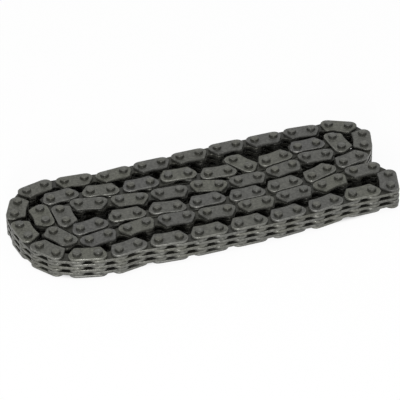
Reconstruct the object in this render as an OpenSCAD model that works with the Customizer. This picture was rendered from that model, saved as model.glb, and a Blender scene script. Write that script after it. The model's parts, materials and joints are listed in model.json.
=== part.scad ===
// Silent chain (inverted tooth timing chain), endless, laid on its side in six folded rows.
// Each guide link is two guide plates and two toothed plates on two pins.
// Each tooth link is three toothed plates that turn on the pins of the guide links beside it.
// +X runs along the rows, +Y away from the viewer, +Z along the pins; the chain rests on its pin ends.

/* [Chain] */
// Distance between neighbouring pins
pitch = 6.35; // [5.8:0.05:7.5]
// Gap between the tips of plates that follow each other in one layer
tip_gap = 1; // [0.7:0.05:1.6]
// Side clearance between plates that lie on each other
side_gap = 0.04; // [0.03:0.01:0.1]

/* [Plate outline] */
// Pin line to the flat back edge
back_h = 2.6; // [2.4:0.05:2.75]
// Pin line to the tooth tips
tooth_h = 3.45; // [3.2:0.05:3.6]
// Round of the back corners
back_r = 2.2; // [1.8:0.05:2.35]
// Slope of the tooth flanks, from the vertical
flank_angle = 30; // [26:1:32]
// Round of the tooth tips
tip_r = 0.5; // [0.2:0.05:0.7]

/* [Guide plates] */
// Thickness of a guide plate
guide_t = 0.8; // [0.6:0.05:1.2]
// Depth of the shallow arch in the tooth-side edge
guide_arch = 0.25; // [0.1:0.05:0.5]
// Width of that arch
guide_arch_w = 6; // [4:0.1:6.6]

/* [Toothed plates] */
// Thickness of a toothed plate
plate_t = 1; // [0.7:0.05:1.4]
// Pin line to the root of the crotch between the two teeth
crotch_h = 1.2; // [0.8:0.05:1.5]
// Round of the crotch
crotch_r = 1.5; // [1:0.05:1.6]

/* [Pins] */
// Diameter of a pin
pin_d = 2.6; // [2:0.05:3]
// Length of pin that stands out of each guide plate
pin_proud = 0.95; // [0.4:0.05:1.5]
// Round of the riveted pin ends
pin_end_r = 0.35; // [0.1:0.05:0.5]
// Radial clearance in the plates that are fixed on the pin
pin_seat_gap = 0.03; // [0.02:0.01:0.05]
// Radial clearance in the plates that turn on the pin
pin_run_gap = 0.06; // [0.04:0.01:0.1]

/* [Lay] */
// Room between rows that lie beside each other
row_gap = 0.75; // [0.6:0.05:1.5]

/* [Hidden] */
$fn = 64;
steel = "#5d5c57";
pin_steel = "#74736e";
cut = 1;

// Layers, counted up from the guide plate at the bottom
layers = 5;
layer_step = plate_t + side_gap;
stack_h = 2*guide_t + layers*layer_step + side_gap;
pin_len = stack_h + 2*pin_proud;
tooth_z = pin_proud + guide_t + side_gap;
guide_z = [pin_proud, pin_proud + stack_h - guide_t];

// Plate outline: two back corners and two tooth tips, joined by straight edges
half_len = pitch - tip_gap/2;
back_x = half_len - back_r;
back_y = back_h - back_r;
flank = [cos(flank_angle), -sin(flank_angle)];
flank_reach = back_x*flank.x + back_y*flank.y + back_r;
tip_y = tip_r - tooth_h;
tip_x = (flank_reach - tip_r - tip_y*flank.y)/flank.x;
corners = [for (side = [1, -1]) for (c = [[back_x, back_y, back_r], [tip_x, tip_y, tip_r]])
    [side*c.x, c.y, c[2]]];
arch_r = (guide_arch_w*guide_arch_w/4 + guide_arch*guide_arch)/(2*guide_arch);
crotch_y = -crotch_h - crotch_r;
crotch_side = [crotch_r*cos(flank_angle), crotch_y + crotch_r*sin(flank_angle)];
crotch_mouth = [crotch_side.x + (tooth_h + cut + crotch_side.y)*tan(flank_angle), -tooth_h - cut];

// Lay of the chain: runs of links as [links, heading], in the order of travel with the teeth on the right.
// The rows are numbered from the back, and a turn lists one heading for each of its links.
row_1 = [[1, 15], [2, -5], [1, -10], [2, 5], [1, 0], [1, 5], [1, 0], [1, 5], [4, 0], [1, -5], [1, 5]];
turn_1_4 = [340, 295, 250, 230, 185];
row_4 = [[1, 195], [1, 200], [3, 185], [1, 180], [1, 170], [2, 180], [1, 170], [1, 180],
    [1, 175], [1, 195]];
turn_4_3 = [185, 115, 90, 15, -10];
row_3 = [[2, -10], [1, 0], [1, -5], [1, 5], [1, -20], [2, 0], [2, 10], [1, 25], [1, -5]];
turn_3_2 = [15, 95, 195];
row_2_right = [[1, 180], [1, 205], [2, 190]];
row_2_kink = [[1, 120], [1, 235]];
row_2_left = [[1, 175], [1, 155], [1, 175], [1, 190], [1, 180], [1, 175], [2, 170], [1, 185]];
turn_2_5 = [220, 270, 275, 300, 340];
row_5 = [[1, 10], [1, 5], [1, 10], [4, -5], [2, 0], [3, 5], [1, 15], [1, 20], [1, 0]];
turn_5_6 = [295, 255, 190];
row_6 = [[1, 180], [1, 185], [1, 190], [1, 180], [1, 185], [5, 180], [2, 175], [1, 190], [1, 175]];
turn_6_1 = [170, 155, 125, 105, 95, 85, 60, 40];

// Height of each turn: the plates of the rows that it joins, and the room that the bent rows need besides
back_pair = 2*back_h + row_gap;
tooth_pair = 2*tooth_h + row_gap;
room_1_4 = 0.4;
room_4_3 = 3.2;
room_3_2 = 0.6;
room_2_5 = 5.5;
room_5_6 = 4.2;
rise_1_4 = -2*tooth_pair - back_pair - room_1_4;
rise_4_3 = tooth_pair + room_4_3;
rise_3_2 = back_pair + room_3_2;
rise_2_5 = -tooth_pair - 2*back_pair - room_2_5;
rise_5_6 = -tooth_pair - room_5_6;

function unit(a) = [cos(a), sin(a)];
function sum(v, i = 0) = i == len(v) ? 0 : v[i] + sum(v, i + 1);
function spread(runs) = [for (run = runs) for (k = [1:run[0]]) run[1]];

// Headings of a turn, drawn together or apart about its middle direction until it has the height wanted
function drawn(turn, mid, k) = [for (h = turn) mid + k*(h - mid)];
function reach(turn, mid, k) = pitch*sum([for (h = drawn(turn, mid, k)) cos(h - mid)]);
function draw(turn, mid, want, low = 0.3, high = 1.9, left = 30) =
    let (k = (low + high)/2)
    left == 0 ? drawn(turn, mid, k)
    : reach(turn, mid, k) > want ? draw(turn, mid, want, k, high, left - 1)
    : draw(turn, mid, want, low, k, left - 1);
function up(turn, rise) = draw(turn, 90, rise);
function down(turn, rise) = draw(turn, 270, -rise);

laid = concat(
    spread(row_1), down(turn_1_4, rise_1_4), spread(row_4), up(turn_4_3, rise_4_3), spread(row_3),
    up(turn_3_2, rise_3_2), spread(row_2_right), spread(row_2_kink), spread(row_2_left),
    down(turn_2_5, rise_2_5), spread(row_5), down(turn_5_6, rise_5_6), spread(row_6));

// Pins along a list of headings, from the first pin at zero
function walk(hs) =
    [for (i = 0, p = [0, 0]; i <= len(hs); p = p + pitch*unit(hs[min(i, len(hs) - 1)]), i = i + 1) p];

// The last turn closes the loop: drawn until it spans the gap to the first pin, then swung to face it
function span(turn) = let (p = walk(turn)) p[len(turn)];
function close(turn, gap, low = 0.3, high = 1.9, left = 30) =
    let (k = (low + high)/2, tried = drawn(turn, 90, k), end = span(tried))
    left == 0 ? [for (h = tried) h + atan2(gap.y, gap.x) - atan2(end.y, end.x)]
    : norm(end) > norm(gap) ? close(turn, gap, k, high, left - 1)
    : close(turn, gap, low, k, left - 1);

headings = concat(laid, close(turn_6_1, -span(laid)));
links = len(headings);
loop = walk(headings);
loose_pins = [for (i = [0:links - 1]) loop[i]];

// The origin lies under the middle of the laid chain
function turned(c, a) = [c.x*cos(a) - c.y*sin(a), c.x*sin(a) + c.y*cos(a)];
corner_spots = [for (i = [0:links - 1]) for (c = corners)
    concat(loose_pins[i] + pitch/2*unit(headings[i]) + turned(c, headings[i]), c[2])];
function middle(k) =
    (max([for (s = corner_spots) s[k] + s[2]]) + min([for (s = corner_spots) s[k] - s[2]]))/2;
middle_xy = [middle(0), middle(1)];
pins = [for (p = loose_pins) p - middle_xy];

// Strands that can swing away from the folded rows, each from its right-hand turn to its free end:
// name, first link and the way that its links follow
front = ["front", 91, 1];
rear = ["rear", 16, -1];
strand_links = 20;
function strand_link(strand, k) = (strand[1] + strand[2]*k + links) % links;
// The free ends meet at this pin; it is made as two end studs, so that the strands can part
open_pin = strand_link(front, strand_links);
// First and last link of each row in the middle of the lay, with the turns beside it
middle_rows = [["row_4", 17, 35], ["row_3", 36, 52], ["row_2", 53, 69], ["row_5", 70, 90]];

function is_guide(i) = i % 2 == 0;
function two_digits(n) = n < 10 ? str("0", n) : str(n);
function link_name(strand, k) =
    let (kind = is_guide(strand_link(strand, k)) ? "guide" : "tooth")
    str(strand[0], "_", kind, "_link_", two_digits(floor(k/2) + 1));
function row_links(row, guide) = [for (i = [row[1]:row[2]]) if (is_guide(i) == guide) i];

module at_link(i) {
    translate(pins[i] + pitch/2*unit(headings[i])) rotate(headings[i]) children();
}

module outline() {
    flank_top = [back_x, back_y] + back_r*flank;
    flank_foot = [tip_x, tip_y] + tip_r*flank;
    polygon([
        [-back_x, back_h], [back_x, back_h], flank_top, flank_foot, [tip_x, -tooth_h],
        [-tip_x, -tooth_h], [-flank_foot.x, flank_foot.y], [-flank_top.x, flank_top.y]]);
    for (c = corners) translate([c.x, c.y]) circle(c[2]);
}

module pin_holes(clearance) {
    for (side = [-1, 1]) translate([side*pitch/2, 0]) circle(pin_d/2 + clearance);
}

module guide_plate() {
    color(steel) linear_extrude(guide_t) difference() {
        outline();
        pin_holes(pin_seat_gap);
        translate([0, guide_arch - tooth_h - arch_r]) circle(arch_r, $fn = 180);
    }
}

module toothed_plate(clearance) {
    color(steel) linear_extrude(plate_t) difference() {
        outline();
        pin_holes(clearance);
        translate([0, crotch_y]) circle(crotch_r);
        polygon([
            crotch_side, crotch_mouth, [-crotch_mouth.x, crotch_mouth.y], [-crotch_side.x, crotch_side.y]]);
    }
}

module pin() {
    color(pin_steel) rotate_extrude() {
        square([pin_d/2 - pin_end_r, pin_len]);
        translate([0, pin_end_r]) square([pin_d/2, pin_len - 2*pin_end_r]);
        for (z = [pin_end_r, pin_len - pin_end_r]) translate([pin_d/2 - pin_end_r, z]) circle(pin_end_r);
    }
}

module end_studs() {
    stud_len = pin_proud + guide_t;
    difference() {
        pin();
        translate([0, 0, stud_len]) cylinder(d = pin_d + cut, h = pin_len - 2*stud_len);
    }
}

module guide_plates(i) {
    at_link(i) for (z = guide_z) translate([0, 0, z]) guide_plate();
}

module inner_plates(i) {
    at_link(i) for (layer = [1:2:layers - 1]) translate([0, 0, tooth_z + layer*layer_step])
        toothed_plate(pin_seat_gap);
}

module tooth_plates(i) {
    at_link(i) for (layer = [0:2:layers - 1]) translate([0, 0, tooth_z + layer*layer_step])
        toothed_plate(pin_run_gap);
}

module link_pins(i) {
    for (end = [i, (i + 1) % links]) translate(pins[end]) {
        if (end == open_pin) end_studs();
        else pin();
    }
}

module guide_link(i) {
    guide_plates(i);
    inner_plates(i);
    link_pins(i);
}

module tooth_link(i) {
    tooth_plates(i);
}

for (row = middle_rows) {
    for (i = row_links(row, true)) guide_plates(i);
    for (i = row_links(row, true)) inner_plates(i);
    for (i = row_links(row, false)) tooth_plates(i);
    for (i = row_links(row, true)) link_pins(i);
}

for (strand = [front, rear]) for (k = [0:strand_links - 1]) {
    i = strand_link(strand, k);
    union() {
        if (is_guide(i)) guide_link(i);
        else tooth_link(i);
    }
}
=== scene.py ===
# Silent chain, endless, laid on its side in six folded rows on a plain white ground.
# Sizes are in millimetres and are the frame's; edges and pin ends are shaped more finely than there.
import json
import math

import bmesh
import bpy
import numpy as np
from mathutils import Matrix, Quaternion, Vector


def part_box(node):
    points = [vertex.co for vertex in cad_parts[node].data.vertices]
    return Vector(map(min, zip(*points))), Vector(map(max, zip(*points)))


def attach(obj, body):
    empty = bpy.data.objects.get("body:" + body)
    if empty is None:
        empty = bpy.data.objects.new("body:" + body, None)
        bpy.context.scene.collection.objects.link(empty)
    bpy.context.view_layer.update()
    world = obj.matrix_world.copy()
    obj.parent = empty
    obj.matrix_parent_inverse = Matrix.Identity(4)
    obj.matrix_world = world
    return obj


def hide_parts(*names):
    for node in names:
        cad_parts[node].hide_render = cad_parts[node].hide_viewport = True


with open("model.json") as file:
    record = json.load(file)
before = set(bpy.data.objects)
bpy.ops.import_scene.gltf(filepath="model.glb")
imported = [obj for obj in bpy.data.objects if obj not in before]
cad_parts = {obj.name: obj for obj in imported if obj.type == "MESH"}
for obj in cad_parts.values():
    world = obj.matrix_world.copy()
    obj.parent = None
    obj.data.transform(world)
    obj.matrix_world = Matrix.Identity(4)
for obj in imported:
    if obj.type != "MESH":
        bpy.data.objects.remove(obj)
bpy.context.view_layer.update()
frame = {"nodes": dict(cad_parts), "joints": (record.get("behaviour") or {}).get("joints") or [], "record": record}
mm = 0.001

# The run of the chain. Every guide link carries two riveted pins, and from each pin to the next is one
# pitch. The pins' centres are read from the rims of their upper ends, and the run is followed from pin to
# pin, starting at the link where the rear strand leaves the folded rows, with the teeth on the right.
pivots = {joint["child"]: Vector(joint["pos_m"]).to_2d() for joint in frame["joints"]}
pitch = (pivots["rear_guide_link_01"] - pivots["rear_tooth_link_01"]).length
rim_depth = 0.01 * mm
same_rim = 0.4 * pitch


def pin_centres(node):
    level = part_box(node)[1].z - rim_depth
    rims = []
    for vertex in frame["nodes"][node].data.vertices:
        if vertex.co.z > level:
            spot = vertex.co.to_2d()
            rim = next((r for r in rims if (r[0] - spot).length < same_rim), None)
            if rim is None:
                rims.append([spot])
            else:
                rim.append(spot)
    centres = []
    for rim in rims:
        spots = np.array(rim, float) / mm
        sums = (spots**2).sum(1)
        fit = np.linalg.lstsq(np.c_[2 * spots, np.ones(len(spots))], sums, rcond=None)[0]
        centres.append(Vector(fit[:2] * mm))
    return centres


loose = [
    pin
    for node in frame["nodes"]
    if node.endswith("_pins") or "guide_link" in node
    for pin in pin_centres(node)
]
run = []
for start in ("rear_tooth_link_01", "rear_guide_link_01"):
    run.append(min(loose, key=lambda pin: (pin - pivots[start]).length))
    loose.remove(run[-1])
while loose:
    run.append(min(loose, key=lambda pin: abs((pin - run[-1]).length - pitch)))
    loose.remove(run[-1])

# Each link lies between two pins of the run, guide links and tooth links by turns.
# A link of the front strand turns on its first pin and one of the rear strand on its second.
links = {"folded_rows": list(range(len(run)))}
for body, pivot in pivots.items():
    at = min(range(len(run)), key=lambda k: (run[k] - pivot).length)
    link = at if body.startswith("front") else (at - 1) % len(run)
    links[body] = [link]
    links["folded_rows"].remove(link)


# Pins. Turned hardened steel, pushed through the stack and spun over at both ends, so each end is a low
# dome with a small round shoulder. Its rubbed bright colour, strongest on the shoulder and foot, is partly
# wear and partly painted highlight, and the oil colour that darkens the shoulder, the foot and all of the
# pin inside the plates is painted shade. Two pins belong to every guide link; where the loop is opened,
# the second one is two short studs in the guide plates.
pin_d = 2.6
pin_len = 8.74
pin_proud = 0.95
pin_end_r = 0.12
pin_dome = 0.09
pin_sides = 18
pin_x = pitch / mm / 2
guide_t = 0.8
shoulder_turns = (15, 52, 90)
# Rubbed bright colour on the pin ends is partly wear and partly painted highlight on the lip and sides; the oil
# darkening on the shoulder and foot is painted shade.
top_rub_glint = 0.1
shoulder_rub_glint = 0.45
foot_rub_glint = 0.5
shoulder_oil_shade = 0.75
foot_oil_shade = 0.5


def pin_rings(bm, worn_and_glint, wet_and_shade, x, profile):
    rings = []
    for r, z, wear_and_glint, oil_and_shade in profile:
        ring = []
        for k in range(pin_sides):
            turn = 2 * math.pi * k / pin_sides
            vertex = bm.verts.new(((x + r * math.cos(turn)) * mm, r * math.sin(turn) * mm, z * mm))
            vertex[worn_and_glint] = wear_and_glint
            vertex[wet_and_shade] = oil_and_shade
            ring.append(vertex)
        rings.append(ring)
    for below, above in zip(rings, rings[1:]):
        for k in range(pin_sides):
            after = (k + 1) % pin_sides
            bm.faces.new((below[k], below[after], above[after], above[k])).smooth = True
    bm.faces.new(list(reversed(rings[0])))
    bm.faces.new(rings[-1])


def hidden_shape(name, bm):
    mesh = bpy.data.meshes.new(name)
    bm.to_mesh(mesh)
    bm.free()
    return bpy.data.objects.new(name, mesh)


def pin_pair_shape(name, open_end):
    bm = bmesh.new()
    worn_and_glint = bm.verts.layers.float.new("rim")
    wet_and_shade = bm.verts.layers.float.new("oil_and_shade")
    # Each ring is its radius, height, rubbing (wear and painted highlight) and oil darkening (painted shade),
    # from the top of the dome to the inside of the plate.
    dome_r = pin_d / 2 - pin_end_r
    lower = [(dome_r / 2, pin_dome / 4, top_rub_glint, 0.0)]
    # The shoulder darkens more towards its side: painted shade.
    for turn in shoulder_turns:
        out = pin_end_r * math.sin(math.radians(turn))
        rise = pin_end_r * (1 - math.cos(math.radians(turn)))
        oil_and_shade = shoulder_oil_shade * (turn / 90)**0.5
        lower.append((dome_r + out, pin_dome + rise, shoulder_rub_glint, oil_and_shade))
    lower.append((pin_d / 2, pin_proud, foot_rub_glint, foot_oil_shade))
    # Inside the plates the pin is fully darkened with oil colour: painted shade deep in the slots.
    lower.append((pin_d / 2, pin_proud + guide_t, 0.0, 1.0))
    upper = [(r, pin_len - z, wear_and_glint, oil_and_shade) for r, z, wear_and_glint, oil_and_shade in reversed(lower)]
    for side in (-1, 1):
        if open_end and side > 0:
            pin_rings(bm, worn_and_glint, wet_and_shade, side * pin_x, lower)
            pin_rings(bm, worn_and_glint, wet_and_shade, side * pin_x, upper)
        else:
            pin_rings(bm, worn_and_glint, wet_and_shade, side * pin_x, lower + upper)
    return hidden_shape(name, bm)


pin_pair = pin_pair_shape("pin pair", False)
opened_pair = pin_pair_shape("pin and end studs", True)


# Finish of all the steel: hardened, tumbled and dipped in oil, dark grey and nearly matt, with a fine
# grain, soft stains where the oil has dried, and a tone that differs a little from piece to piece.
def node_group(name, inputs, outputs):
    group = bpy.data.node_groups.new(name, "ShaderNodeTree")
    for socket, kind, value in inputs:
        made = group.interface.new_socket(socket, in_out="INPUT", socket_type=kind)
        if value is not None:
            made.default_value = value
    for socket, kind in outputs:
        group.interface.new_socket(socket, in_out="OUTPUT", socket_type=kind)
    return group, group.nodes.new("NodeGroupInput"), group.nodes.new("NodeGroupOutput")


def add_math(tree, operation, first, second, third=None):
    node = tree.nodes.new("ShaderNodeMath")
    node.operation = operation
    for socket, value in zip(node.inputs, (first, second, third)):
        if isinstance(value, bpy.types.NodeSocket):
            tree.links.new(value, socket)
        elif value is not None:
            socket.default_value = value
    return node.outputs[0]


def add_noise(tree, vector, scale, detail, rough):
    node = tree.nodes.new("ShaderNodeTexNoise")
    node.inputs["Detail"].default_value = detail
    node.inputs["Roughness"].default_value = rough
    tree.links.new(vector, node.inputs["Vector"])
    tree.links.new(scale, node.inputs["Scale"])
    return node.outputs["Fac"]


def add_mix(tree, factor, first, second):
    node = tree.nodes.new("ShaderNodeMix")
    node.data_type = "RGBA"
    for socket, value in ((node.inputs[0], factor), (node.inputs[6], first), (node.inputs[7], second)):
        if isinstance(value, bpy.types.NodeSocket):
            tree.links.new(value, socket)
        else:
            socket.default_value = value
    return node.outputs[2]


oiled, oiled_in, oiled_out = node_group(
    "Oiled steel",
    [
        ("Position", "NodeSocketVector", None),
        ("Tone", "NodeSocketFloat", None),
        ("Cool", "NodeSocketColor", None),
        ("Warm", "NodeSocketColor", None),
        ("Stain Scale", "NodeSocketFloat", 350.0),
        ("Grain Scale", "NodeSocketFloat", 1300.0),
        ("Stain", "NodeSocketFloat", 0.7),
        ("Grain", "NodeSocketFloat", 2.0),
        ("Roughness", "NodeSocketFloat", None),
    ],
    [("Color", "NodeSocketColor"), ("Roughness", "NodeSocketFloat"), ("Height", "NodeSocketFloat")],
)
stain_dulls = 0.35
grain_dulls = 0.15
stain_height = 0.4
tone_shift = (0.31, 0.17, 0.23)
shift = oiled.nodes.new("ShaderNodeVectorMath")
shift.operation = "ADD"
apart = oiled.nodes.new("ShaderNodeCombineXYZ")
for axis, spread in enumerate(tone_shift):
    oiled.links.new(add_math(oiled, "MULTIPLY", oiled_in.outputs["Tone"], spread), apart.inputs[axis])
oiled.links.new(oiled_in.outputs["Position"], shift.inputs[0])
oiled.links.new(apart.outputs[0], shift.inputs[1])
stain = add_noise(oiled, shift.outputs[0], oiled_in.outputs["Stain Scale"], 4.0, 0.6)
grain = add_noise(oiled, shift.outputs[0], oiled_in.outputs["Grain Scale"], 2.0, 0.7)
body_tone = add_mix(oiled, oiled_in.outputs["Tone"], oiled_in.outputs["Cool"], oiled_in.outputs["Warm"])
stain_swing = add_math(oiled, "SUBTRACT", stain, 0.5)
grain_swing = add_math(oiled, "SUBTRACT", grain, 0.5)
stain_tone = add_math(oiled, "MULTIPLY_ADD", stain_swing, oiled_in.outputs["Stain"], 1.0)
grain_tone = add_math(oiled, "MULTIPLY_ADD", grain_swing, oiled_in.outputs["Grain"], stain_tone)
lightness = oiled.nodes.new("ShaderNodeVectorMath")
lightness.operation = "SCALE"
oiled.links.new(body_tone, lightness.inputs[0])
oiled.links.new(grain_tone, lightness.inputs["Scale"])
oiled.links.new(lightness.outputs[0], oiled_out.inputs["Color"])
stain_dull = add_math(oiled, "MULTIPLY_ADD", stain_swing, stain_dulls, oiled_in.outputs["Roughness"])
grain_dull = add_math(oiled, "MULTIPLY_ADD", grain_swing, grain_dulls, stain_dull)
oiled.links.new(grain_dull, oiled_out.inputs["Roughness"])
oiled.links.new(add_math(oiled, "MULTIPLY_ADD", stain, stain_height, grain), oiled_out.inputs["Height"])

# Edges that the tumbling and the running have rubbed bright, broken up so that they aren't one even line;
# the bright specks also stand for glints of light on the edges, so they are partly painted highlight.
rub_glint_starts = 0.95
rub_glint_full = 1.6
rub_glints, rub_glints_in, rub_glints_out = node_group(
    "Rubbed edges and painted glints",
    [
        ("Position", "NodeSocketVector", None),
        ("Rim", "NodeSocketFloat", None),
        ("Break Scale", "NodeSocketFloat", 900.0),
        ("Amount", "NodeSocketFloat", None),
    ],
    [("Mask", "NodeSocketFloat")],
)
broken = add_noise(rub_glints, rub_glints_in.outputs["Position"], rub_glints_in.outputs["Break Scale"], 3.0, 0.6)
reach = rub_glints.nodes.new("ShaderNodeMapRange")
reach.interpolation_type = "SMOOTHSTEP"
reach.inputs["From Min"].default_value = rub_glint_starts
reach.inputs["From Max"].default_value = rub_glint_full
rub_glints.links.new(add_math(rub_glints, "ADD", rub_glints_in.outputs["Rim"], broken), reach.inputs["Value"])
rub_glints.links.new(add_math(rub_glints, "MULTIPLY", reach.outputs[0], rub_glints_in.outputs["Amount"]),
                 rub_glints_out.inputs["Mask"])

# The three steels share both effects and the oil colour that darkens them, which is oil and also painted
# shade in the slots, the gaps between rows, on the pin sides and round the pin feet; each has its own
# colours and shine.
# Colour of the oil darkening, which is mostly painted shade.
oil_shade_colour = (0.015, 0.0146, 0.0123, 1)
rub_smooths = 0.25
grain_depth = 0.03
grain_strength = 0.35


def steel_finish(name, cool, warm, rub_glint_colour, metallic, gloss, roughness, wear_and_glint):
    finish = bpy.data.materials.new(name)
    finish.use_nodes = True
    tree = finish.node_tree
    shader = tree.nodes["Principled BSDF"]
    shader.inputs["Metallic"].default_value = metallic
    shader.inputs["Specular IOR Level"].default_value = gloss
    position = tree.nodes.new("ShaderNodeTexCoord").outputs["Object"]
    marks = {}
    for mark in ("tone", "rim", "oil_and_shade"):
        node = tree.nodes.new("ShaderNodeAttribute")
        node.attribute_name = mark
        marks[mark] = node.outputs["Fac"]
    surface = tree.nodes.new("ShaderNodeGroup")
    surface.node_tree = oiled
    surface.inputs["Cool"].default_value = cool
    surface.inputs["Warm"].default_value = warm
    surface.inputs["Roughness"].default_value = roughness
    edges = tree.nodes.new("ShaderNodeGroup")
    edges.node_tree = rub_glints
    edges.inputs["Amount"].default_value = wear_and_glint
    for group in (surface, edges):
        tree.links.new(position, group.inputs["Position"])
    tree.links.new(marks["tone"], surface.inputs["Tone"])
    tree.links.new(marks["rim"], edges.inputs["Rim"])
    # Rubbed edges turn to the bare colour: wear, and painted glints.
    bright = add_mix(tree, edges.outputs["Mask"], surface.outputs["Color"], rub_glint_colour)
    # The oil mark darkens towards the oil colour: painted shade in slots, gaps, on pin sides and round pin feet.
    tree.links.new(add_mix(tree, marks["oil_and_shade"], bright, oil_shade_colour), shader.inputs["Base Color"])
    tree.links.new(
        add_math(tree, "MULTIPLY_ADD", edges.outputs["Mask"], -rub_smooths, surface.outputs["Roughness"]),
        shader.inputs["Roughness"])
    bump = tree.nodes.new("ShaderNodeBump")
    bump.inputs["Strength"].default_value = grain_strength
    bump.inputs["Distance"].default_value = grain_depth * mm
    tree.links.new(surface.outputs["Height"], bump.inputs["Height"])
    tree.links.new(bump.outputs["Normal"], shader.inputs["Normal"])
    return finish


pin_finish = steel_finish(
    "pin steel",
    cool=(0.09, 0.091, 0.083, 1),
    warm=(0.094, 0.094, 0.078, 1),
    rub_glint_colour=(0.3, 0.3, 0.278, 1),
    metallic=0.5,
    gloss=0.4,
    roughness=0.36,
    wear_and_glint=0.7,
)


# Toothed plates. Blanked from strip steel in one outline with two teeth and a round crotch between them,
# and two pin holes. Two sit fast on the pins of each guide link, and three make a tooth link. The teeth and
# the faces between the plates are darkened with oil colour, which is painted shade in the gaps between the
# rows and in the slots, and the backs are rubbed bright, partly wear and partly painted glints.
tip_gap = 1.0
back_h = 2.6
tooth_h = 3.45
back_r = 2.2
flank_angle = 30
tip_r = 0.5
plate_t = 1.0
crotch_h = 1.2
crotch_r = 1.5
hole_gap = 0.03
hole_sides = 12
back_steps = 5
tip_steps = 2
inner_steps = 4
# Rubbed bright colour on the plate edges and flanks, partly wear and partly painted glints.
edge_rub_glint = 1.0
flank_rub_glint = 0.75
# The oil darkening grows towards the teeth as painted shade in the gaps; the rubbed colour grows towards the back.
oily_shaded_below = -0.6
dry_glinting_above = 1.0
hole_r = (pin_d / 2 + hole_gap) / math.cos(math.pi / hole_sides)
half_len = pitch / mm - tip_gap / 2
back_x = half_len - back_r
back_y = back_h - back_r
flank_cos = math.cos(math.radians(flank_angle))
flank_sin = math.sin(math.radians(flank_angle))
flank_reach = back_x * flank_cos - back_y * flank_sin + back_r
tip_y = tip_r - tooth_h
tip_x = (flank_reach - tip_r + tip_y * flank_sin) / flank_cos


def arc(x, y, r, start, stop, steps):
    turns = [math.radians(start + (stop - start) * k / steps) for k in range(steps + 1)]
    return [(x + r * math.cos(turn), y + r * math.sin(turn)) for turn in turns]


def plate_outline(tooth_side):
    outline = arc(back_x, back_y, back_r, -flank_angle, 90, back_steps)
    outline += arc(-back_x, back_y, back_r, 90, 180 + flank_angle, back_steps)
    outline += arc(-tip_x, tip_y, tip_r, 180 + flank_angle, 270, tip_steps)
    outline += tooth_side
    outline += arc(tip_x, tip_y, tip_r, 270, 360 - flank_angle, tip_steps)
    return outline


def inset(outline, depth):
    moved = []
    for k, (x, y) in enumerate(outline):
        before = Vector((x, y)) - Vector(outline[k - 1])
        after = Vector(outline[(k + 1) % len(outline)]) - Vector((x, y))
        first = Vector((-before.y, before.x)).normalized()
        second = Vector((-after.y, after.x)).normalized()
        mitre = (first + second) / (1 + first.dot(second))
        moved.append((x + depth * mitre.x, y + depth * mitre.y))
    return moved


def plate_shape(name, outline, thickness, bevel, rim_w, face_oil_shade, flank_oil_shade, seep_shade_w=0, seep_oil_shade=0):
    bm = bmesh.new()
    worn_and_glint = bm.verts.layers.float.new("rim")
    wet_and_shade = bm.verts.layers.float.new("oil_and_shade")
    # The rings go from the lower face round the broken edges to the upper face, each with its own rubbing;
    # towards the teeth the rubbing fades and the oil darkening grows, painted shade in the gaps between rows.
    edge = inset(outline, bevel)
    field = inset(outline, bevel + rim_w)
    levels = [(outline, bevel, flank_rub_glint), (outline, thickness - bevel, flank_rub_glint)]
    if rim_w:
        levels = [(edge, 0, edge_rub_glint)] + levels + [(edge, thickness, edge_rub_glint)]
    levels = [(field, 0, 0.0)] + levels + [(field, thickness, 0.0)]
    rings = []
    for points, z, wear_and_glint in levels:
        ring = [bm.verts.new((x * mm, y * mm, z * mm)) for x, y in points]
        for vertex, (x, y) in zip(ring, outline):
            # Share of the way towards the back, which sets painted glints there and painted shade towards the
            # teeth.
            toward_back = min(1.0, max(0.0, (y - oily_shaded_below) / (dry_glinting_above - oily_shaded_below)))
            vertex[worn_and_glint] = wear_and_glint * toward_back
            vertex[wet_and_shade] = face_oil_shade if wear_and_glint == 0 else flank_oil_shade * (1 - toward_back)
        rings.append(ring)
    count = len(outline)
    for step, (below, above) in enumerate(zip(rings, rings[1:])):
        for k in range(count):
            after = (k + 1) % count
            face = bm.faces.new((below[k], below[after], above[after], above[k]))
            face.smooth = levels[step][1] != levels[step + 1][1]
    # The two pin holes, with a ring of face round each that is darkened as painted shadow at the pin's foot.
    holes = []
    for side in (-1, 1):
        walls = []
        for z in (0, thickness):
            spots = arc(side * pin_x, 0, hole_r, 0, 360, hole_sides)[:-1]
            walls.append([bm.verts.new((x * mm, y * mm, z * mm)) for x, y in spots])
            for vertex in walls[-1]:
                vertex[wet_and_shade] = face_oil_shade + seep_oil_shade
        for k in range(hole_sides):
            after = (k + 1) % hole_sides
            bm.faces.new((walls[0][after], walls[0][k], walls[1][k], walls[1][after])).smooth = True
        if seep_shade_w:
            for level, wall in enumerate(walls):
                spots = arc(side * pin_x, 0, hole_r + seep_shade_w, 0, 360, hole_sides)[:-1]
                rim = [bm.verts.new((x * mm, y * mm, level * thickness * mm)) for x, y in spots]
                for vertex in rim:
                    vertex[wet_and_shade] = face_oil_shade
                for k in range(hole_sides):
                    after = (k + 1) % hole_sides
                    patch = (wall[k], rim[k], rim[after], wall[after])
                    bm.faces.new(patch if level else patch[::-1])
                walls[level] = rim
        holes.append(walls)
    # Each face is a back half and a tooth half that meet on the line through the holes.
    right_end = min(range(count), key=lambda k: (Vector(outline[k]) - Vector((half_len, 0))).length)
    left_end = min(range(count), key=lambda k: (Vector(outline[k]) - Vector((-half_len, 0))).length)
    half = hole_sides // 2
    for level, ring in ((0, rings[0]), (1, rings[-1])):
        left, right = holes[0][level], holes[1][level]
        back = ring[right_end:left_end + 1]
        back += left[half::-1]
        back += right[half::-1]
        front = ring[left_end:] + ring[:right_end + 1]
        front += right[:1] + right[:half - 1:-1]
        front += left[:1] + left[:half - 1:-1]
        for cap in (back, front):
            bm.faces.new(cap if level else list(reversed(cap)))
    return hidden_shape(name, bm)


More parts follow.
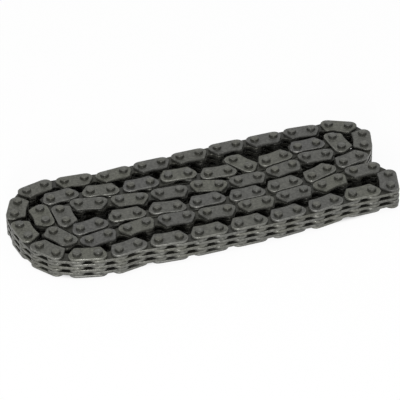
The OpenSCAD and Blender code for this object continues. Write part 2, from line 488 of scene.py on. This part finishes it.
crotch_y = -crotch_h - crotch_r
crotch_side = (crotch_r * flank_cos, crotch_y + crotch_r * flank_sin)
mouth_x = crotch_side[0] + (crotch_side[1] + tooth_h) * math.tan(math.radians(flank_angle))
crotch = [(-mouth_x, -tooth_h)]
crotch += arc(0, crotch_y, crotch_r, 180 - flank_angle, flank_angle, inner_steps)
crotch.append((mouth_x, -tooth_h))
# The faces between plates and the tooth flanks are darkened with oil colour: painted shade in slots and gaps.
toothed_plate = plate_shape(
    "toothed plate", plate_outline(crotch), plate_t, bevel=0.07, rim_w=0, face_oil_shade=0.6, flank_oil_shade=0.7)
plate_finish = steel_finish(
    "toothed plate steel",
    cool=(0.08, 0.081, 0.074, 1),
    warm=(0.084, 0.084, 0.069, 1),
    rub_glint_colour=(0.25, 0.25, 0.23, 1),
    metallic=0.55,
    gloss=0.1,
    roughness=0.44,
    wear_and_glint=0.6,
)


# Guide plates. Thinner outer plates without teeth, pressed on the pin ends at both sides of a guide link;
# their inner edge has a shallow arch, and they keep the chain on its sprockets. A dark ring round each pin
# hole is painted shadow at the foot of the pins, and the oil colour on the flanks towards the teeth is
# painted shade.
guide_arch = 0.25
guide_arch_w = 6.0
arch_r = (guide_arch_w**2 / 4 + guide_arch**2) / (2 * guide_arch)
arch_angle = math.degrees(math.asin(guide_arch_w / 2 / arch_r))
arch = arc(0, guide_arch - tooth_h - arch_r, arch_r, 90 + arch_angle, 90 - arch_angle, inner_steps)
# A dark ring round each pin hole is painted shadow at the pins' foot; the flank darkening is painted shade.
guide_plate = plate_shape(
    "guide plate", plate_outline(arch), guide_t, bevel=0.1, rim_w=0.18, face_oil_shade=0.0, flank_oil_shade=0.5,
    seep_shade_w=0.3, seep_oil_shade=0.6)
guide_finish = steel_finish(
    "guide plate steel",
    cool=(0.078, 0.078, 0.074, 1),
    warm=(0.094, 0.095, 0.078, 1),
    rub_glint_colour=(0.25, 0.25, 0.23, 1),
    metallic=0.55,
    gloss=0.5,
    roughness=0.5,
    wear_and_glint=0.45,
)


# Links. A guide link is two guide plates and two toothed plates fast on two pins, and a tooth link is three
# toothed plates that turn on the pins beside it; the layers lie on each other with a little side play.
side_gap = 0.04
layers = 5
layer_step = plate_t + side_gap
stack_h = 2 * guide_t + layers * layer_step + side_gap
first_layer = pin_proud + guide_t + side_gap


def link_tree(name, inputs):
    tree = bpy.data.node_groups.new(name, "GeometryNodeTree")
    tree.interface.new_socket("Links", in_out="INPUT", socket_type="NodeSocketGeometry")
    for socket, kind in inputs:
        tree.interface.new_socket(socket, in_out="INPUT", socket_type=kind)
    tree.interface.new_socket("Links", in_out="OUTPUT", socket_type="NodeSocketGeometry")
    return tree, tree.nodes.new("NodeGroupInput"), tree.nodes.new("NodeGroupOutput")


# Layers of one shape on the middle of each link, turned along it, each piece with a tone of its own.
stacked, stacked_in, stacked_out = link_tree("Stacked on the pins", [
    ("Shape", "NodeSocketObject"), ("Lowest", "NodeSocketFloat"), ("Step", "NodeSocketFloat"),
    ("Layers", "NodeSocketInt"), ("Finish", "NodeSocketMaterial"), ("Seed", "NodeSocketInt")])
copies = stacked.nodes.new("GeometryNodeDuplicateElements")
copies.domain = "POINT"
stacked.links.new(stacked_in.outputs["Links"], copies.inputs["Geometry"])
stacked.links.new(stacked_in.outputs["Layers"], copies.inputs["Amount"])
raise_up = stacked.nodes.new("ShaderNodeCombineXYZ")
stacked.links.new(
    add_math(stacked, "MULTIPLY_ADD", copies.outputs["Duplicate Index"], stacked_in.outputs["Step"],
             stacked_in.outputs["Lowest"]), raise_up.inputs["Z"])
lifted = stacked.nodes.new("GeometryNodeSetPosition")
stacked.links.new(copies.outputs["Geometry"], lifted.inputs["Geometry"])
stacked.links.new(raise_up.outputs[0], lifted.inputs["Offset"])
shape = stacked.nodes.new("GeometryNodeObjectInfo")
shape.inputs["As Instance"].default_value = True
stacked.links.new(stacked_in.outputs["Shape"], shape.inputs["Object"])
heading = stacked.nodes.new("GeometryNodeInputNamedAttribute")
heading.data_type = "FLOAT"
heading.inputs["Name"].default_value = "heading"
facing = stacked.nodes.new("ShaderNodeCombineXYZ")
stacked.links.new(heading.outputs["Attribute"], facing.inputs["Z"])
turned = stacked.nodes.new("FunctionNodeEulerToRotation")
stacked.links.new(facing.outputs[0], turned.inputs[0])
placed = stacked.nodes.new("GeometryNodeInstanceOnPoints")
stacked.links.new(lifted.outputs[0], placed.inputs["Points"])
stacked.links.new(shape.outputs["Geometry"], placed.inputs["Instance"])
stacked.links.new(turned.outputs[0], placed.inputs["Rotation"])
chance = stacked.nodes.new("FunctionNodeRandomValue")
chance.data_type = "FLOAT"
stacked.links.new(stacked_in.outputs["Seed"], chance.inputs["Seed"])
toned = stacked.nodes.new("GeometryNodeStoreNamedAttribute")
toned.data_type = "FLOAT"
toned.domain = "INSTANCE"
toned.inputs["Name"].default_value = "tone"
stacked.links.new(placed.outputs[0], toned.inputs["Geometry"])
tone_value = next(s for s in chance.outputs if s.enabled and s.type == "VALUE")
stacked.links.new(tone_value, toned.inputs["Value"])
real = stacked.nodes.new("GeometryNodeRealizeInstances")
stacked.links.new(toned.outputs[0], real.inputs[0])
finished = stacked.nodes.new("GeometryNodeSetMaterial")
stacked.links.new(real.outputs[0], finished.inputs["Geometry"])
stacked.links.new(stacked_in.outputs["Finish"], finished.inputs["Material"])
stacked.links.new(finished.outputs[0], stacked_out.inputs[0])


def pile(tree, tree_in, shape, finish, lowest, step, count, seed_shift):
    group = tree.nodes.new("GeometryNodeGroup")
    group.node_tree = stacked
    if isinstance(shape, bpy.types.NodeSocket):
        tree.links.new(shape, group.inputs["Shape"])
    else:
        group.inputs["Shape"].default_value = shape
    group.inputs["Finish"].default_value = finish
    group.inputs["Layers"].default_value = count
    tree.links.new(tree_in.outputs["Links"], group.inputs["Links"])
    tree.links.new(tree_in.outputs[lowest], group.inputs["Lowest"])
    if step is not None:
        tree.links.new(tree_in.outputs[step], group.inputs["Step"])
    tree.links.new(add_math(tree, "ADD", tree_in.outputs["Seed"], seed_shift), group.inputs["Seed"])
    return group.outputs[0]


guide_link, guide_in, guide_out = link_tree("Guide link", [
    ("Lower Guide", "NodeSocketFloat"), ("Guide Spacing", "NodeSocketFloat"),
    ("Lower Inner", "NodeSocketFloat"), ("Inner Spacing", "NodeSocketFloat"),
    ("Pin Foot", "NodeSocketFloat"), ("Pins", "NodeSocketObject"), ("Seed", "NodeSocketInt")])
joined = guide_link.nodes.new("GeometryNodeJoinGeometry")
for part in (
    pile(guide_link, guide_in, guide_plate, guide_finish, "Lower Guide", "Guide Spacing",
         count=2, seed_shift=0),
    pile(guide_link, guide_in, toothed_plate, plate_finish, "Lower Inner", "Inner Spacing",
         count=2, seed_shift=100),
    pile(guide_link, guide_in, guide_in.outputs["Pins"], pin_finish, "Pin Foot", None,
         count=1, seed_shift=200),
):
    guide_link.links.new(part, joined.inputs[0])
guide_link.links.new(joined.outputs[0], guide_out.inputs[0])

tooth_link, tooth_in, tooth_out = link_tree("Tooth link", [
    ("Lower Plate", "NodeSocketFloat"), ("Plate Spacing", "NodeSocketFloat"), ("Seed", "NodeSocketInt")])
tooth_link.links.new(
    pile(tooth_link, tooth_in, toothed_plate, plate_finish, "Lower Plate", "Plate Spacing",
         count=3, seed_shift=0),
    tooth_out.inputs[0])

guide_sizes = {
    "Lower Guide": pin_proud * mm,
    "Guide Spacing": (stack_h - guide_t) * mm,
    "Lower Inner": (first_layer + layer_step) * mm,
    "Inner Spacing": 2 * layer_step * mm,
    "Pin Foot": 0.0,
    "Pins": pin_pair,
}
tooth_sizes = {"Lower Plate": first_layer * mm, "Plate Spacing": 2 * layer_step * mm}


def lay_links(name, which, tree, sizes, seed):
    spots, headings = [], []
    for link in which:
        first, second = run[link], run[(link + 1) % len(run)]
        spots.append(((first + second) / 2).to_3d())
        headings.append(math.atan2(second.y - first.y, second.x - first.x))
    points = bpy.data.meshes.new(name)
    points.from_pydata(spots, [], [])
    points.attributes.new("heading", "FLOAT", "POINT").data.foreach_set("value", headings)
    piece = bpy.data.objects.new(name, points)
    bpy.context.scene.collection.objects.link(piece)
    modifier = piece.modifiers.new("links", "NODES")
    modifier.node_group = tree
    for item in tree.interface.items_tree:
        if item.in_out == "INPUT" and item.name in sizes:
            modifier[item.identifier] = sizes[item.name]
        elif item.in_out == "INPUT" and item.name == "Seed":
            modifier[item.identifier] = seed
    view_layer = bpy.context.evaluated_depsgraph_get()
    made = bpy.data.meshes.new_from_object(piece.evaluated_get(view_layer))
    piece.modifiers.remove(modifier)
    piece.data = made
    made.name = name
    bpy.data.meshes.remove(points)
    return piece


for body, which in links.items():
    for kind, tree, sizes, odd in (
        ("guide", guide_link, guide_sizes, 0), ("tooth", tooth_link, tooth_sizes, 1)):
        these = [link for link in which if link % 2 == odd]
        if these:
            name = f"{body}_{kind}_steel" if body == "folded_rows" else f"{body}_steel"
            if body == "front_guide_link_10":
                sizes = {**sizes, "Pins": opened_pair}
            piece = lay_links(name, these, tree, sizes, these[0])
            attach(piece, body)
            nodes = frame["record"]["behaviour"]["bodies"][body]
            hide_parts(*[node for node in nodes if ("tooth" in node) == bool(odd)])


# Ground and backdrop. White paper without an edge in view; seen straight on or in a reflection it is white,
# with a faint shadow round the chain and the plain shaded paper between its rows.
ground_half = 3.0
shaded_half = (41, 4)
shaded_to = 14
open_from = 17.5
open_white = 0.93
ground_mesh = bpy.data.meshes.new("ground")
corners = [(x * ground_half, y * ground_half, 0) for x, y in ((-1, -1), (1, -1), (1, 1), (-1, 1))]
ground_mesh.from_pydata(corners, [], [(0, 1, 2, 3)])
ground = bpy.data.objects.new("ground", ground_mesh)
bpy.context.scene.collection.objects.link(ground)


def seen_white(tree):
    seen = tree.nodes.new("ShaderNodeLightPath")
    straight = add_math(tree, "MAXIMUM", seen.outputs["Is Camera Ray"], seen.outputs["Is Glossy Ray"])
    return add_math(tree, "MAXIMUM", straight, seen.outputs["Is Transmission Ray"])


paper = bpy.data.materials.new("white paper")
paper.use_nodes = True
tree = paper.node_tree
sheet = tree.nodes["Principled BSDF"]
sheet.inputs["Base Color"].default_value = (0.9, 0.9, 0.9, 1)
sheet.inputs["Roughness"].default_value = 0.9
glow = tree.nodes.new("ShaderNodeEmission")
glow.inputs["Strength"].default_value = 1.0
straight = seen_white(tree)
spot = tree.nodes.new("ShaderNodeSeparateXYZ")
tree.links.new(tree.nodes.new("ShaderNodeTexCoord").outputs["Object"], spot.inputs[0])
past = []
for axis, half in enumerate(shaded_half):
    across = add_math(tree, "ABSOLUTE", spot.outputs[axis], None)
    past.append(add_math(tree, "MAXIMUM", add_math(tree, "SUBTRACT", across, half * mm), 0.0))
past_squared = add_math(tree, "MULTIPLY", past[1], past[1])
away = add_math(tree, "SQRT", add_math(tree, "MULTIPLY_ADD", past[0], past[0], past_squared), None)
open_paper = tree.nodes.new("ShaderNodeMapRange")
open_paper.interpolation_type = "SMOOTHSTEP"
open_paper.inputs["From Min"].default_value = shaded_to * mm
open_paper.inputs["From Max"].default_value = open_from * mm
tree.links.new(away, open_paper.inputs["Value"])
blend = tree.nodes.new("ShaderNodeMixShader")
glowing = add_math(tree, "MULTIPLY", straight, open_paper.outputs[0])
tree.links.new(add_math(tree, "MULTIPLY", glowing, open_white), blend.inputs[0])
tree.links.new(sheet.outputs[0], blend.inputs[1])
tree.links.new(glow.outputs[0], blend.inputs[2])
tree.links.new(blend.outputs[0], tree.nodes["Material Output"].inputs["Surface"])
ground_mesh.materials.append(paper)

# The room round it, white where it is seen or mirrored and dimmer as a light.
world = bpy.data.worlds.new("white room")
bpy.context.scene.world = world
world.use_nodes = True
tree = world.node_tree
room = tree.nodes["Background"]
room.inputs["Color"].default_value = (1, 1, 1, 1)
room_light = 0.51
brightness = add_math(tree, "MULTIPLY_ADD", seen_white(tree), 1 - room_light, room_light)
tree.links.new(brightness, room.inputs["Strength"])

# Light. One broad soft box overhead, and a smaller one low in front that lights the sides of the pins and
# glances off the round corners of the plates; the white room does the rest.
for name, place, size, power in (
    ("soft box overhead", (-0.15, -0.1, 0.75), 0.4, 1.9),
    ("soft box in front", (-0.28, -0.72, 0.2), 0.15, 5.4),
):
    lamp = bpy.data.lights.new(name, "AREA")
    lamp.size = size
    lamp.energy = power
    holder = bpy.data.objects.new(name, lamp)
    holder.location = place
    holder.rotation_euler = (-Vector(place)).to_track_quat("-Z", "Y").to_euler()
    bpy.context.scene.collection.objects.link(holder)

# Camera. A long lens, looking down along the rows from the front left corner, held a little out of level,
# with its place given by the turn round the chain, the height and the distance from its aim.
shot_azimuth = math.radians(-18.66)
shot_elevation = math.radians(34.64)
shot_roll = math.radians(-1.33)
shot_distance = 702 * mm
shot_target = Vector((-2.73, -4.77, 7.79)) * mm
lens = bpy.data.cameras.new("camera")
lens.sensor_width = 36
lens.lens = 206.3
lens.clip_start = 0.01
lens.clip_end = 20
camera = bpy.data.objects.new("camera", lens)
back = Vector((
    math.sin(shot_azimuth) * math.cos(shot_elevation),
    -math.cos(shot_azimuth) * math.cos(shot_elevation),
    math.sin(shot_elevation)))
camera.location = shot_target + shot_distance * back
camera.rotation_mode = "QUATERNION"
level = (-back).to_track_quat("-Z", "Y")
camera.rotation_quaternion = level @ Quaternion((0, 0, 1), shot_roll)
bpy.context.scene.collection.objects.link(camera)
bpy.context.scene.camera = camera
bpy.context.scene.view_settings.view_transform = "Standard"
